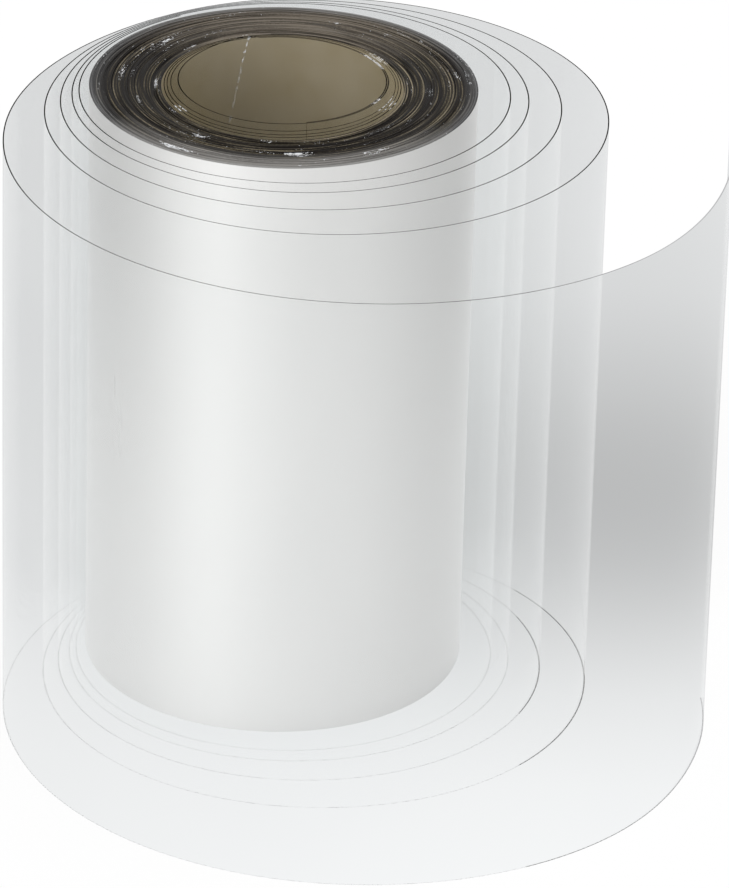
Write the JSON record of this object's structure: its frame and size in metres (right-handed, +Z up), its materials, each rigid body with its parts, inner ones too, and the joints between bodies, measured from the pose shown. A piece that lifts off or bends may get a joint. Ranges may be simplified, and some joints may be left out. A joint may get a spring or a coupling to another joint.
{
  "type": "roll of cake collar film",
  "caption": "Coreless roll of clear plastic cake collar film standing on its end, its outer turns loose and the free end standing away.",
  "frame": {"origin": "axis of the tight pack, in the plane that the roll stands on", "axes": "+Z up along the pack's axis, +X towards the free tail, -Y towards the side where the outer turns stand loose"},
  "size_m": [0.114, 0.1118, 0.1],
  "materials": {
    "clear_film": "clear, glossy"
  },
  "bodies": {
    "root": {"film_roll": "clear_film"}
  },
  "joints": []
}
